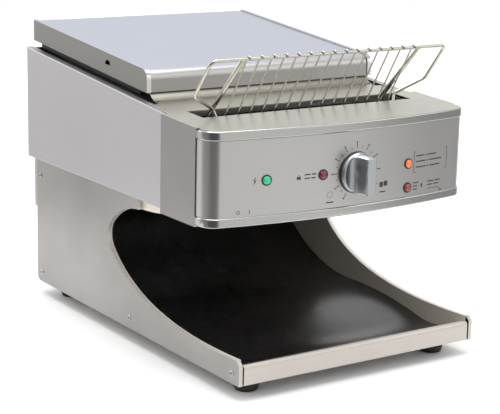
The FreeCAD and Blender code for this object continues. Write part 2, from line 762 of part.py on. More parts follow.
def spur_gear(teeth, module, width, bore, turn_deg):
    """A spur gear along +X whose first tooth stands at turn_deg from +Y towards +Z."""
    pitch = module * teeth / 2
    base = pitch * math.cos(PRESSURE)
    tip, root = pitch + 0.9 * module, pitch - 1.2 * module
    backlash = 0.05 / pitch
    half_angle = math.pi / (2 * teeth) + math.tan(PRESSURE) - PRESSURE - backlash
    flank = involute_flank(base, max(base, root), tip, half_angle)
    points = []
    for number in range(teeth):
        middle = math.radians(turn_deg) + 2 * math.pi * number / teeth
        rising = [(root, -flank[0][1] - 0.001)] + [(r, -a) for r, a in flank]
        for r, a in rising + [(r, -a) for r, a in reversed(rising)]:
            points.append(Vector(0, r * math.cos(middle + a), r * math.sin(middle + a)))
    wire = Part.makePolygon(points + points[:1])
    solid = Part.Face(wire).extrude(Vector(width, 0, 0))
    return solid.cut(Part.makeCylinder(bore, width, Vector(), Vector(1, 0, 0)))


def gears():
    wheel_teeth, pinion_teeth = int(S.wheel_teeth.value), int(S.pinion_teeth.value)
    module, width = S.gear_module.value, S.gear_width.value
    drive_gear = doc.addObject("Part::Feature", "drive_gear")
    drive_gear.Shape = spur_gear(wheel_teeth, module, width, S.shaft.value + 0.02, 0)
    sub_part("drive_gear", place(drive_gear, GEAR_X, S.front_shaft_y, S.front_shaft_z))
    pinion = doc.addObject("Part::Feature", "pinion")
    pinion.Shape = spur_gear(pinion_teeth, module, width, 3.9, 180 / pinion_teeth)
    place(pinion, GEAR_X, PINION_Y, S.front_shaft_z)
    stem = rod((188, PINION_Y, S.front_shaft_z), 4, GEAR_X + width + 1 - 188, ALONG_X)
    sub_part("motor_pinion", fused(pinion, stem))


def gearmotor():
    width = S.chassis_half - S.metal - 0.1 - MOTOR_X
    case = box((MOTOR_X, PINION_Y - 20, 241), (width, 40, 42))
    can = rod((MOTOR_X + 21, PINION_Y, 282), 17.5, 54)
    cap = cone((MOTOR_X + 21, PINION_Y, 336), 17.5, 13, 4)
    holes = [rod((186, y, z), 2.1, 10, ALONG_X) for y, z in MOTOR_SCREWS]
    bore = rod((186, PINION_Y, S.front_shaft_z), 4.05, 8, ALONG_X)
    sub_part("gearmotor", cut(fused(case, can, cap), bore, *holes))


def cooling_fan():
    back = S.base_back - S.metal - S.air
    frame = box((FAN_X - 40, back - 25, FAN_Z - 40), (80, 25, 80))
    throat = rod((FAN_X, back - 26, FAN_Z), 37, 27, ALONG_Y)
    struts = [box((FAN_X - 38, back - 2.5, FAN_Z - 2), (76, 2.5, 4)),
              box((FAN_X - 2, back - 2.5, FAN_Z - 38), (4, 2.5, 76))]
    axle = rod((FAN_X, back - 22, FAN_Z), 3, 21, ALONG_Y)
    boss = rod((FAN_X, back - 4, FAN_Z), 13, 4, ALONG_Y)
    holes = [rod((x, back - 10, z), 2.1, 12, ALONG_Y) for x, z in FAN_SCREWS]
    sub_part("fan_frame", fused(cut(frame, throat, *holes), axle, boss, *struts))
    hub = rod((FAN_X, back - 22, FAN_Z), 14, 16, ALONG_Y)
    blades = []
    for number in range(7):
        blade = doc.addObject("Part::Box", "blade")
        for prop, length in (("Length", 22), ("Width", 15), ("Height", 1.6)):
            bind(blade, prop, length)
        around = Rotation(Vector(0, 1, 0), 360 / 7 * number)
        pitched = around.multiply(Rotation(Vector(1, 0, 0), 32))
        corner = around.multVec(Vector(12, 0, 0)) + pitched.multVec(Vector(0, -7.5, -0.8))
        blades.append(place(blade, FAN_X + corner.x, back - 14 + corner.y, FAN_Z + corner.z, pitched))
    bore = rod((FAN_X, back - 24, FAN_Z), 3 + S.fit, 20, ALONG_Y)
    sub_part("fan_impeller", cut(fused(hub, *blades), bore))


# ---------------------------------------------------------------- controls

ROCKER_TILT = 8


def lamps():
    holders = []
    for name, x, z in LAMPS:
        barrel = rod_out(x, z, -16, S.lamp_radius, 16.4)
        rim = rod_out(x, z, 0.15, S.lamp_radius + 1.4, 1)
        seat = rod_out(x, z, -6, S.lamp_radius - 1.2, 10)
        holders.append(cut(fused(barrel, rim), seat))
        lens = rod_out(x, z, -5, S.lamp_radius - 1.3, 6.4)
        start, turn = on_fascia(x, z, 1.3)
        crown = cone(start, S.lamp_radius - 0.4, 3, 1.8, turn)
        sub_part(name, fused(lens, crown))
    sub_part("lamp_holders", group(*holders))


def rod_out(x, z, out, radius, length):
    """A round piece that stands square on the fascia at x, from a height out above it."""
    start, turn = on_fascia(x, z, out)
    return rod(start, radius, length, turn)


def knob():
    face = on_fascia(S.knob_x.value, 0, 0)[0][1]
    x, z = S.knob_x, S.control_z
    disc = rod((x, face - 0.8, z), S.knob_radius, 6, TO_FRONT)
    shoulder = cone((x, face - 6.8, z), S.knob_radius, S.knob_radius - 3, 3, TO_FRONT)
    bar_half = S.knob_radius - 2
    bar = box((x - 7, face - S.knob_depth, z - bar_half), (14, S.knob_depth - 2, bar_half * 2))
    bore = rod((x, face, z), 3.02, 14, TO_FRONT)
    sub_part("speed_knob", cut(fused(disc, shoulder, bar), bore))
    sub_part("knob_shaft", rod((x, face + 20, z), 3, 32, TO_FRONT))
    body = rod((x, face + 22, z), 12, 16, TO_FRONT)
    thread = rod((x, face + 7, z), 4.5, 4.2, TO_FRONT)
    sub_part("speed_control", cut(fused(body, thread), rod((x, face + 21, z), 3 + S.fit, 30, TO_FRONT)))


def power_switch():
    x, y = SWITCH_X, SWITCH_Y
    flange = box((x - 17, y - 10.5, S.head_bottom - 1.5), (34, 21, 2.4))
    body = box((x - 14, y - 8, S.head_bottom - 1), (28, 16, 24))
    cavity = box((x - 11.3, y - 6, S.head_bottom - 4), (22.6, 12, 16))
    pivot = rod((x, y - 7, S.head_bottom + 3), 1.55, 14, ALONG_Y)
    sub_part("power_switch", cut(fused(flange, body), cavity, pivot))
    tilt = Rotation(Vector(0, 1, 0), ROCKER_TILT)
    corner = tilt.multVec(Vector(-10, 0, -6))
    paddle = doc.addObject("Part::Box", "paddle")
    for prop, length in (("Length", 20), ("Width", 11.2), ("Height", 10)):
        bind(paddle, prop, length)
    place(paddle, x + corner.x, y - 5.6, S.head_bottom + 3 + corner.z, tilt)
    pin = rod((x, y - 6.8, S.head_bottom + 3), 1.5, 13.6, ALONG_Y)
    sub_part("power_rocker", fused(paddle, pin))


def mode_switch():
    x, y = -SWITCH_X, SWITCH_Y
    flange = rod((x, y, S.head_bottom - 1), 10.5, 1.9)
    body = rod((x, y, S.head_bottom - 0.5), 8, 17)
    cavity = rod((x, y, S.head_bottom - 3), 5.6, 16)
    sub_part("mode_switch", cut(fused(flange, body), cavity))
    sub_part("mode_button", rod((x, y, S.head_bottom - 5), 5.5, 12))


def electrics():
    board = box((-110, 66, 234), (80, 1.6, 92))
    legs = [box((x, 66, S.head_bottom + 2.4), (8, 1.6, 11)) for x in (-106, -42)]
    relays = [box((x, 67.4, 250), (16, 14, 20)) for x in (-102, -80)]
    coil = box((-60, 67.4, 290), (22, 18, 24))
    sub_part("control_board", fused(board, coil, *legs, *relays))
    back = S.base_back
    body = rod((GLAND_X, back - 8, GLAND_Z), 10, 9, ALONG_Y)
    hexagon = nut((GLAND_X, back + 0.1, GLAND_Z), 14, 5, ALONG_Y)
    nose = cone((GLAND_X, back + 4, GLAND_Z), 11, 8.5, 9, ALONG_Y)
    bore = rod((GLAND_X, back - 10, GLAND_Z), 4.5, 30, ALONG_Y)
    sub_part("mains_gland", cut(fused(body, hexagon, nose), bore))


# ---------------------------------------------------------------- loading rack

RACK_TILT = math.radians(58.8)      # the thin wires' slope from level
WELD_GAP = 0.03                # between the rail and what is welded to it
HOOK_TURN = Rotation(Vector(0, math.sin(RACK_TILT), math.cos(RACK_TILT)),
                     Vector(0, -math.cos(RACK_TILT), math.sin(RACK_TILT)), Vector(1, 0, 0), "XYZ")


def straight_wire(start, end, radius):
    along = end - start
    return rod(start, radius, along.Length, Rotation(Vector(0, 0, 1), along))


def bent_wire(spots, radius, bend):
    """A round wire through some points, bent round each corner on its way."""
    start = spots[0]
    pieces = []
    for before, corner, after in zip(spots, spots[1:], spots[2:]):
        way_in, way_out = (corner - before).normalize(), (after - corner).normalize()
        half_turn = way_in.getAngle(way_out) / 2
        reach = bend * math.tan(half_turn)
        first, last = corner - way_in * reach, corner + way_out * reach
        centre = corner + (way_out - way_in).normalize() * (bend / math.cos(half_turn))
        middle = centre + (corner - centre).normalize() * bend
        pieces += [Part.makeLine(start, first), Part.Arc(first, middle, last).toShape()]
        start = last
    pieces.append(Part.makeLine(start, spots[-1]))
    section = Part.Wire(Part.makeCircle(radius, spots[0], spots[1] - spots[0]))
    wire = doc.addObject("Part::Feature", "bent_wire")
    wire.Shape = Part.Wire(pieces).makePipeShell([section], True, True)
    return place(wire)


def rack():
    low_z = S.rail_z.value - 91
    low_y = S.rail_y.value + 91 / math.tan(RACK_TILT)
    rail = Vector(0, S.rail_y.value, S.rail_z.value)
    corner = rail + Vector(S.rail_half.value, 0, 0)
    half = [rail, corner, corner + Vector(0, 40.4, -51.4), Vector(155, 143, 362), Vector(150, low_y, low_z)]
    loop = half + [Vector(-spot.x, spot.y, spot.z) for spot in reversed(half)]
    bars = []
    for side in (-1, 1):
        across = Vector(side * S.side_bar_x.value, 0, 0)
        foot = Vector(0, 169, 348)
        way = (foot - rail).normalize()
        bars.append(straight_wire(across + rail + way * (S.rack_wire.value + WELD_GAP), across + foot, 3.2))
    sub_part("rack_frame", group(bent_wire(loop, S.rack_wire.value, 9), *bars))
    clear = S.rack_wire + S.thin_wire + WELD_GAP
    lean = Rotation(Vector(1, 0, 0), -90 - math.degrees(RACK_TILT))
    top_y = S.rail_y + clear * math.sin(RACK_TILT)
    top_z = S.rail_z + clear * math.cos(RACK_TILT)
    length = 91 / math.sin(RACK_TILT) + 5
    wires = []
    for number in range(15):
        x = S.wire_pitch * (number - 7)
        hook = doc.addObject("Part::Torus", "hook")
        bind(hook, "Radius1", clear)
        bind(hook, "Radius2", S.thin_wire)
        hook.Angle3 = 150
        place(hook, x, S.rail_y, S.rail_z, HOOK_TURN)
        wires.append(fused(rod((x, top_y, top_z), S.thin_wire, length, lean), hook))
    sub_part("rack_wires", group(*wires))


# ---------------------------------------------------------------- assembly

def build():
    base_pan()
    feet()
    front_lip()
    toast_chute()
    rear_panel()
    rear_vent_cover()
    screws()
    for word, side in (("left", -1), ("right", 1)):
        side_panel(f"side_panel_{word}", side)
        chassis_side(f"chassis_side_{word}", side)
        upper_side(f"upper_side_{word}", side)
    upper_rear_panel()
    lid()
    lid_liner()
    head_cover()
    fascia()
    head_trim("head_trim_top", S.head_top_front - S.trim_height)
    head_trim("head_trim_bottom", S.head_bottom)
    head_base()
    inner_sheets()
    shaft("front_shaft", S.front_shaft_y, S.front_shaft_z, S.chassis_half + 4, S.chassis_half + 13)
    shaft("rear_shaft", S.rear_shaft_y, S.rear_shaft_z, S.chassis_half + 4, S.chassis_half + 4)
    wheels("front_wheels", S.front_shaft_y, S.front_shaft_z)
    wheels("rear_wheels", S.rear_shaft_y, S.rear_shaft_z)
    bushes()
    belt()
    heaters()
    gears()
    gearmotor()
    cooling_fan()
    lamps()
    knob()
    power_switch()
    mode_switch()
    electrics()
    rack()


def check_and_write():
    doc.recompute()
    for thing in doc.Objects:
        if "Invalid" in thing.State or "Error" in thing.State:
            raise RuntimeError(f"{thing.Name} ({thing.Label}) failed: {thing.State}")
    os.makedirs("parts", exist_ok=True)
    for name, thing in SUB_PARTS.items():
        if thing.Shape.isNull() or not thing.Shape.isValid() or not thing.Shape.Solids:
            raise RuntimeError(f"{name} has no valid solid")
        thing.Shape.exportStep(f"parts/{name}.step")
    print(len(SUB_PARTS), "sub-parts written")


build()
check_and_write()
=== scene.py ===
"""Looks of the countertop conveyor toaster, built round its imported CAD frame. All lengths are in metres."""
import json
import math

import bmesh
import bpy
from mathutils import Matrix, Vector

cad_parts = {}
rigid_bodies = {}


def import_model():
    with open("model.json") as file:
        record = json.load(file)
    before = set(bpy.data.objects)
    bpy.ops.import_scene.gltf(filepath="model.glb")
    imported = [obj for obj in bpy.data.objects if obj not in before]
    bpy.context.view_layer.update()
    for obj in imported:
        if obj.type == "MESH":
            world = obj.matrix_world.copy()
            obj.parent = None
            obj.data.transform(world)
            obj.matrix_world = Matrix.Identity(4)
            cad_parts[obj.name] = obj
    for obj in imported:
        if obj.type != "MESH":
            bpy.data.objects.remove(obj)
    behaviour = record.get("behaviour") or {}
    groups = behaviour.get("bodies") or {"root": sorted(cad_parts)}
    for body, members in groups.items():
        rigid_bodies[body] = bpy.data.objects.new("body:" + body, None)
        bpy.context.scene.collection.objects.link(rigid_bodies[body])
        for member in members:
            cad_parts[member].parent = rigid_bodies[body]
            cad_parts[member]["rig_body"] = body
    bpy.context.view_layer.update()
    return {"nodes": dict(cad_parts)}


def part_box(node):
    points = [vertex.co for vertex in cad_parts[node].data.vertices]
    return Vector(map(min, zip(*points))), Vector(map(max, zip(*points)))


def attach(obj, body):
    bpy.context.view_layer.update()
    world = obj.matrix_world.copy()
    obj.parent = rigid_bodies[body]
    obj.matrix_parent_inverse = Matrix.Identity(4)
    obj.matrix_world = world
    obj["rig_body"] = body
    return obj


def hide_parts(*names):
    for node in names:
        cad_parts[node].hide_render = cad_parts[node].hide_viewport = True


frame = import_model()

MM = 0.001
SAME_POINT = 1e-7                # points of a new mesh that are closer than this are one
SAME_CAD_POINT = 2e-6            # the same for the CAD's meshes
FLAT = math.radians(0.2)         # CAD faces that turn less than this are one flat face
FOLD = 0.6                       # a sheet's edge that turns more than this, in radians, is a fold
FOLD_ROUNDING = 1.6 * MM         # how far the side sheets' outer folds are rounded
SHARP = math.radians(35)         # edges that turn more than this are rounded


# ---------------------------------------------------------------- mesh helpers

def new_object(name, data):
    made = bpy.data.objects.new(name, data)
    bpy.context.scene.collection.objects.link(made)
    return made


def add_piece(name, mesh, material, body, replaced=()):
    """Make a mesh an object that rides on a body and shows instead of the CAD nodes it replaces."""
    piece = new_object(name, mesh)
    mesh.materials.append(material)
    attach(piece, body)
    if replaced:
        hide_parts(*replaced)
    return piece


def mesh_of(name, verts, faces, smooth=True):
    """A mesh with its doubled points merged and its faces turned outwards."""
    mesh = bpy.data.meshes.new(name)
    mesh.from_pydata([tuple(v) for v in verts], [], faces)
    mesh.validate()
    work = bmesh.new()
    work.from_mesh(mesh)
    bmesh.ops.remove_doubles(work, verts=work.verts, dist=SAME_POINT)
    bmesh.ops.recalc_face_normals(work, faces=work.faces)
    work.to_mesh(mesh)
    work.free()
    mesh.polygons.foreach_set("use_smooth", [smooth] * len(mesh.polygons))
    return mesh


def bevelled(mesh, width):
    """A copy of a mesh with its sharp edges rounded and its flat faces shaded flat."""
    holder = new_object("bevel_work", mesh)
    bevel = holder.modifiers.new("bevel", "BEVEL")
    bevel.width = width
    bevel.segments = 2
    bevel.limit_method = "ANGLE"
    bevel.angle_limit = SHARP
    holder.modifiers.new("normals", "WEIGHTED_NORMAL").weight = 80
    graph = bpy.context.evaluated_depsgraph_get()
    made = bpy.data.meshes.new_from_object(holder.evaluated_get(graph))
    bpy.data.objects.remove(holder)
    return made


def refined(node, material, edge, wide_fold=None):
    """Rebuild a CAD node with rounded edges, and its folds rounded further where wide_fold(edge) says so."""
    work = bmesh.new()
    work.from_mesh(frame["nodes"][node].data)
    bmesh.ops.remove_doubles(work, verts=work.verts, dist=SAME_CAD_POINT)
    bmesh.ops.dissolve_limit(work, angle_limit=FLAT, verts=work.verts, edges=work.edges)
    if wide_fold:
        folds = [e for e in work.edges if len(e.link_faces) == 2 and e.calc_face_angle(0) > FOLD]
        bmesh.ops.bevel(work, geom=[e for e in folds if wide_fold(e)], offset=FOLD_ROUNDING,
                        offset_type="OFFSET", segments=4, profile=0.5, affect="EDGES", clamp_overlap=True)
    for face in work.faces:
        face.smooth = True
    mesh = bpy.data.meshes.new(node + "_sheet")
    work.to_mesh(mesh)
    work.free()
    if edge:
        mesh = bevelled(mesh, edge)
    return add_piece(node + "_finished", mesh, material, frame["nodes"][node]["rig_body"], [node])


def finish_faces(piece, material, wanted):
    """Give the faces that wanted(normal, centre) picks a finish of their own."""
    mesh = piece.data
    mesh.materials.append(material)
    number = len(mesh.materials) - 1
    for face in mesh.polygons:
        if wanted(face.normal, face.center):
            face.material_index = number


def islands(node):
    """The boxes of a node's separate solids, as (lowest, highest) corners."""
    work = bmesh.new()
    work.from_mesh(frame["nodes"][node].data)
    bmesh.ops.remove_doubles(work, verts=work.verts, dist=SAME_CAD_POINT)
    left = set(work.verts)
    boxes = []
    while left:
        stack = [left.pop()]
        found = []
        while stack:
            vert = stack.pop()
            found.append(vert.co.copy())
            for edge in vert.link_edges:
                other = edge.other_vert(vert)
                if other in left:
                    left.remove(other)
                    stack.append(other)
        low = Vector([min(p[i] for p in found) for i in range(3)])
        high = Vector([max(p[i] for p in found) for i in range(3)])
        boxes.append((low, high))
    work.free()
    return sorted(boxes, key=lambda b: tuple(round(c, 5) for c in b[0]))


def middle_of(node):
    """The middle of a CAD node's box."""
    low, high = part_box(node)
    return (low + high) / 2


def half_width(node):
    """How far a CAD node reaches to the side from the middle plane."""
    low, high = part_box(node)
    return max(abs(low.x), abs(high.x))


def turns(segments):
    """The angles of a full turn's steps."""
    return [2 * math.pi * step / segments for step in range(segments)]


def around(radius, turn, height):
    """A point at a turn about +Z, as a Vector."""
    return Vector((radius * math.cos(turn), radius * math.sin(turn), height))


def skin(rings, segments, top_cap=True):
    """The faces over a stack of rings of points, with a cap under the first and over the last."""
    faces = []
    for ring in range(rings - 1):
        low, high = ring * segments, (ring + 1) * segments
        for step in range(segments):
            after = (step + 1) % segments
            faces.append((low + step, low + after, high + after, high + step))
    faces.append(tuple(range(segments))[::-1])
    if top_cap:
        faces.append(tuple((rings - 1) * segments + step for step in range(segments)))
    return faces


def turned(profile, segments, corners=0, corner_rings=()):
    """Verts and faces of a profile of (radius, height) turned about +Z; some rings may be polygonal."""
    verts = []
    for number, (radius, height) in enumerate(profile):
        for turn in turns(segments):
            reach = radius
            if number in corner_rings:
                part = 2 * math.pi / corners
                reach = radius * math.cos(part / 2) / math.cos((turn % part) - part / 2)
            verts.append(around(reach, turn, height))
    return verts, skin(len(profile), segments)


def joined(parts):
    """Several (verts, faces) as one."""
    verts, faces = [], []
    for more_verts, more_faces in parts:
        start = len(verts)
        verts += more_verts
        faces += [tuple(i + start for i in face) for face in more_faces]
    return verts, faces


def placed(part, matrix):
    verts, faces = part
    return [matrix @ v for v in verts], faces


def facing(point, outwards):
    """The matrix that puts +Z along outwards at a point, and +Y as near upright as it can be."""
    z = Vector(outwards).normalized()
    x = Vector((0, 0, 1)).cross(z)
    x = x.normalized() if x.length > 1e-6 else Vector((1, 0, 0))
    y = z.cross(x)
    turn = Matrix((x, y, z)).transposed()
    return Matrix.Translation(point) @ turn.to_4x4()


def rounded_path(points, radius, steps=10):
    """The points of a bent wire: straight runs joined by arcs of a radius."""
    path = [points[0]]
    for before, corner, after in zip(points, points[1:], points[2:]):
        a, b = (before - corner).normalized(), (after - corner).normalized()
        half = a.angle(b) / 2
        longest = 0.45 * min((before - corner).length, (after - corner).length)
        reach = min(radius / math.tan(half), longest)
        arc_radius = reach * math.tan(half)
        centre = corner + (a + b).normalized() * (arc_radius / math.sin(half))
        start, end = corner + a * reach - centre, corner + b * reach - centre
        axis, angle = start.cross(end), start.angle(end)
        for step in range(steps + 1):
            path.append(centre + Matrix.Rotation(angle * step / steps, 3, axis) @ start)
    path.append(points[-1])
    return path


def domed_end(end, before, radius):
    """Two shrinking rings past the end of a wire, as (point, radius), the nearer one first."""
    way = (end - before).normalized()
    return [(end + way * radius * 0.6, radius * 0.8), (end + way * radius * 0.9, radius * 0.35)]


def tube(path, radius, sides):
    """Verts and faces of a round wire along a path, with domed ends."""
    rows = domed_end(path[0], path[1], radius)[::-1]
    rows += [(point, radius) for point in path]
    rows += domed_end(path[-1], path[-2], radius)
    verts = []
    side = (rows[1][0] - rows[0][0]).normalized().orthogonal().normalized()
    for number, (point, reach) in enumerate(rows):
        ahead = rows[min(number + 1, len(rows) - 1)][0] - rows[max(number - 1, 0)][0]
        ahead.normalize()
        side = (side - ahead * side.dot(ahead)).normalized()
        other = ahead.cross(side)
        for turn in turns(sides):
            verts.append(point + (side * math.cos(turn) + other * math.sin(turn)) * reach)
    return verts, skin(len(rows), sides)


# ---------------------------------------------------------------- materials

def add_node(tree, kind, inputs=None, **settings):
    """A shader node with its settings made, and its inputs linked or set by name or number."""
    node = tree.nodes.new(kind)
    for name, value in settings.items():
        setattr(node, name, value)
    for name, value in (inputs or {}).items():
        if isinstance(value, bpy.types.NodeSocket):
            tree.links.new(value, node.inputs[name])
        else:
            node.inputs[name].default_value = value
    return node


def noise(tree, where, scale, detail=3.0, stretch=(1, 1, 1)):
    mapping = add_node(tree, "ShaderNodeMapping", {"Vector": where, "Scale": stretch})
    made = add_node(tree, "ShaderNodeTexNoise", {"Vector": mapping.outputs["Vector"], "Scale": scale,
                                                 "Detail": detail})
    return made.outputs["Fac"]


def ramp(tree, value, start, end, low, high, **settings):
    """Map start..end to low..high."""
    made = add_node(tree, "ShaderNodeMapRange", {"Value": value, "From Min": start, "From Max": end,
                                                 "To Min": low, "To Max": high}, **settings)
    return made.outputs["Result"]


def tinted(colour, share):
    return (*[min(1.0, c * share) for c in colour], 1.0)


def surface(name, colour, rough, metallic=0.0, mottle=0.05, mottle_scale=9.0, grain=None, rough_spread=0.05,
            bump=0.1, bump_scale=500.0, bump_depth=0.05 * MM, **shader):
    """A procedural finish: patchy colour, uneven roughness and fine relief, which grain draws out one way."""
    material = bpy.data.materials.new(name)
    material.use_nodes = True
    tree = material.node_tree
    principled = tree.nodes["Principled BSDF"]
    where = add_node(tree, "ShaderNodeTexCoord").outputs["Object"]
    patches = noise(tree, where, mottle_scale)
    mix = add_node(tree, "ShaderNodeMix", {"Factor": patches, "A": tinted(colour, 1 - mottle),
                                           "B": tinted(colour, 1 + mottle)}, data_type="RGBA")
    tree.links.new(mix.outputs["Result"], principled.inputs["Base Color"])
    fine = noise(tree, where, bump_scale, 2.0, grain or (1, 1, 1))
    smudge = noise(tree, where, mottle_scale * 2.3)
    both = add_node(tree, "ShaderNodeMath", {0: fine, 1: smudge}, operation="ADD")
    mean = add_node(tree, "ShaderNodeMath", {0: both.outputs[0], 1: 0.5}, operation="MULTIPLY")
    roughness = ramp(tree, mean.outputs[0], 0.3, 0.7, rough - rough_spread, rough + rough_spread)
    tree.links.new(roughness, principled.inputs["Roughness"])
    relief = add_node(tree, "ShaderNodeBump", {"Height": fine, "Strength": bump, "Distance": bump_depth})
    tree.links.new(relief.outputs["Normal"], principled.inputs["Normal"])
    principled.inputs["Metallic"].default_value = metallic
    for socket, value in shader.items():
        principled.inputs[socket.replace("_", " ")].default_value = value
    return material


def steel(name, colour, rough, grain, bump=0.06, **more):
    return surface(name, colour, rough, 1.0, grain=grain, bump=bump, **more)


ALONG_X, ALONG_Y, ALONG_Z = (0.012, 1, 1), (1, 0.012, 1), (1, 1, 0.012)

FINISH = {
    "panel": steel("rolled_steel_panel", (0.455, 0.44, 0.445), 0.36, ALONG_Z, mottle=0.05, mottle_scale=4),
    # large soft patches of lighter and darker tone on the lower side panels: painted reflection and shade for
    # a gradient of light across them
    "base": steel("rolled_steel_base_painted_light_patches", (0.33, 0.315, 0.305), 0.36, ALONG_Y, mottle=0.34, mottle_scale=4.6),
    # a brighter, partly diffuse copy of the steel for folded edges: a painted highlight
    "rim": surface("fold_rim_painted_highlight", (0.78, 0.75, 0.70), 0.40, 0.45, mottle=0.05, bump=0.02),
    # a darker copy of the head top's steel for the head cover's side walls: painted shade
    "cheek": steel("cheek_painted_shade", (0.285, 0.272, 0.27), 0.38, ALONG_Z, mottle=0.05),
    "head_top": steel("brushed_head_top", (0.50, 0.49, 0.43), 0.36, ALONG_X, mottle=0.05),
    # a darker copy of the head top's steel for the cove under the lid: painted shade
    "cove": steel("cove_painted_shade", (0.27, 0.255, 0.225), 0.38, ALONG_X, mottle=0.05),
    # the lid's steel, tinted cool blue on top: a painted reflection
    "lid": steel("brushed_lid", (0.475, 0.50, 0.575), 0.34, ALONG_X, mottle=0.02, mottle_scale=4),
    # darker copies of the lid's steel for its front and its side walls: painted shade
    "lid_front": steel("lid_front_painted_shade", (0.42, 0.41, 0.40), 0.36, ALONG_X, mottle=0.04),
    "lid_side": steel("lid_side_painted_shade", (0.243, 0.238, 0.222), 0.40, ALONG_Y, mottle=0.05),
    "trim": surface("polished_trim", (0.44, 0.44, 0.425), 0.24, 1.0, mottle=0.03, mottle_scale=4, bump=0.0,
                    rough_spread=0.01),
    "fascia": surface("satin_fascia", (0.49, 0.48, 0.465), 0.30, 0.85, mottle=0.03, mottle_scale=3, bump=0.0,
                      rough_spread=0.02),
    "inner": steel("plain_inner_sheet", (0.50, 0.49, 0.48), 0.42, ALONG_Y, mottle=0.07),
    # the chassis sheet's steel, made bright and warm: a painted warm reflection on the inner walls
    "chassis": surface("chassis_sheet_painted_warm_reflection", (0.90, 0.83, 0.72), 0.44, 0.35, mottle=0.08, grain=ALONG_Y),
    "lip": steel("front_lip_steel", (0.52, 0.48, 0.44), 0.38, ALONG_X, mottle=0.03),
    "chute": surface("black_non_stick", (0.012, 0.011, 0.011), 0.27, mottle=0.2, bump=0.12, bump_scale=900,
                     Specular_IOR_Level=0.55, Coat_Weight=0.3, Coat_Roughness=0.26),
    "liner": surface("heat_darkened_liner", (0.035, 0.034, 0.034), 0.5, 0.4, mottle=0.2),
    "wire": steel("polished_wire", (0.50, 0.48, 0.43), 0.19, None, mottle=0.10, mottle_scale=60, bump=0.03),
    "screw": surface("screw_steel", (0.50, 0.49, 0.48), 0.40, 0.6, mottle=0.08, mottle_scale=300, bump=0.04),
    "rubber": surface("foot_rubber", (0.016, 0.015, 0.015), 0.62, mottle=0.25, bump=0.3, bump_scale=1500),
    "knob": steel("satin_knob", (0.47, 0.49, 0.51), 0.33, ALONG_Z, mottle=0.03),
    "plastic": surface("black_plastic", (0.022, 0.022, 0.024), 0.45, mottle=0.15, bump=0.2, bump_scale=1800),
    "gloss_plastic": surface("gloss_black_plastic", (0.015, 0.015, 0.016), 0.22, mottle=0.1, bump=0.03),
    "ink": surface("fascia_ink", (0.035, 0.035, 0.04), 0.5, mottle=0.2, mottle_scale=200, bump=0.05),
    "shaft": steel("ground_shaft", (0.50, 0.50, 0.50), 0.25, ALONG_X, mottle=0.05),
    "gear": steel("oiled_gear", (0.24, 0.235, 0.23), 0.34, None, mottle=0.15, mottle_scale=80),
    "bronze": steel("sintered_bronze", (0.55, 0.36, 0.16), 0.40, None, mottle=0.15, mottle_scale=200,
                    bump=0.2),
    "belt": steel("heat_tinted_belt", (0.42, 0.38, 0.33), 0.32, None, mottle=0.2, mottle_scale=30),
    "heater": steel("oxidised_sheath", (0.16, 0.13, 0.11), 0.46, None, mottle=0.25, mottle_scale=60,
                    bump=0.2),
    "ceramic": surface("glazed_ceramic", (0.80, 0.77, 0.68), 0.25, mottle=0.06, mottle_scale=150, bump=0.05),
    "motor": surface("grey_enamel", (0.10, 0.10, 0.105), 0.38, 0.2, mottle=0.1, bump=0.15, bump_scale=900),
    "board": surface("green_board", (0.02, 0.16, 0.06), 0.40, mottle=0.2, mottle_scale=180, bump=0.15),
}


# ---------------------------------------------------------------- CAD nodes that keep their shape

def plain_node(node, finish):
    target = frame["nodes"][node]
    target.data.materials.clear()
    target.data.materials.append(FINISH[finish])


for finish, nodes in {
    "inner": ["base_pan", "feed_guide_front", "feed_guide_rear", "chamber_floor", "top_reflector"],
    "screw": ["foot_nuts"],
    "shaft": ["front_shaft", "rear_shaft", "front_wheels", "rear_wheels", "knob_shaft"],
    "gear": ["drive_gear", "motor_pinion"],
    "bronze": ["shaft_bushes"],
    "belt": ["belt_chain_left", "belt_chain_right", "belt_rods"],
    "heater": ["top_heaters", "bottom_heaters"],
    "ceramic": ["heater_insulators"],
    "board": ["control_board"],
    "plastic": ["fan_impeller", "speed_control"],
}.items():
    for node in nodes:
        plain_node(node, finish)


# ---------------------------------------------------------------- casing sheets and housings

# parts of a face's normal, which tell the sides and fronts of the folded sheets apart, so that they can get
# darker copies of the steel for painted shade and brighter ones for painted highlights
SIDE_EDGE = 0.75                     # a side panel's edges face the side less than this
SIDE_WALL = 0.7                      # the side walls of the lid and the head cover face it more than this
LID_FRONT, LID_HEM, COVE_FRONT = -0.45, -0.9, -0.2

FRONT_EDGE_Y = -285 * MM             # the side panels' edges in front of this are in the lip's finish
COVE_Y = -66 * MM                    # the head's cove begins behind this
LID_HEM_X = 187 * MM                 # the ends of the lid's front hem outside this get a painted highlight


def outside_fold(node):
    """A test for the edges that run along a side sheet's outside face."""
    reach = half_width(node)

    def test(edge):
        return all(abs(abs(v.co.x) - reach) < 0.05 * MM for v in edge.verts)
    return test


def sheets(rows):
    """Refine CAD nodes, each given with its finish, its slot (not used) and the rounding of its edges in mm.
    """
    for node, finish, slot, edge in rows:
        refined(node, FINISH[finish], edge * MM)


def side_sheets(word):
    lower, upper = "side_panel_" + word, "upper_side_" + word
    panel = refined(lower, FINISH["base"], 0.3 * MM, outside_fold(lower))
    # The side panel's edge faces get the brighter copy of the steel, a painted highlight; those at the front
    # get the lip's steel instead.
    finish_faces(panel, FINISH["rim"], lambda normal, centre: abs(normal.x) < SIDE_EDGE)
    finish_faces(panel, FINISH["lip"],
                 lambda normal, centre: abs(normal.x) < SIDE_EDGE and centre.y < FRONT_EDGE_Y)
    refined(upper, FINISH["panel"], 0.3 * MM, outside_fold(upper))
    # The chassis sides get the steel with its painted warm reflection.
    refined("chassis_side_" + word, FINISH["chassis"], 0.25 * MM)


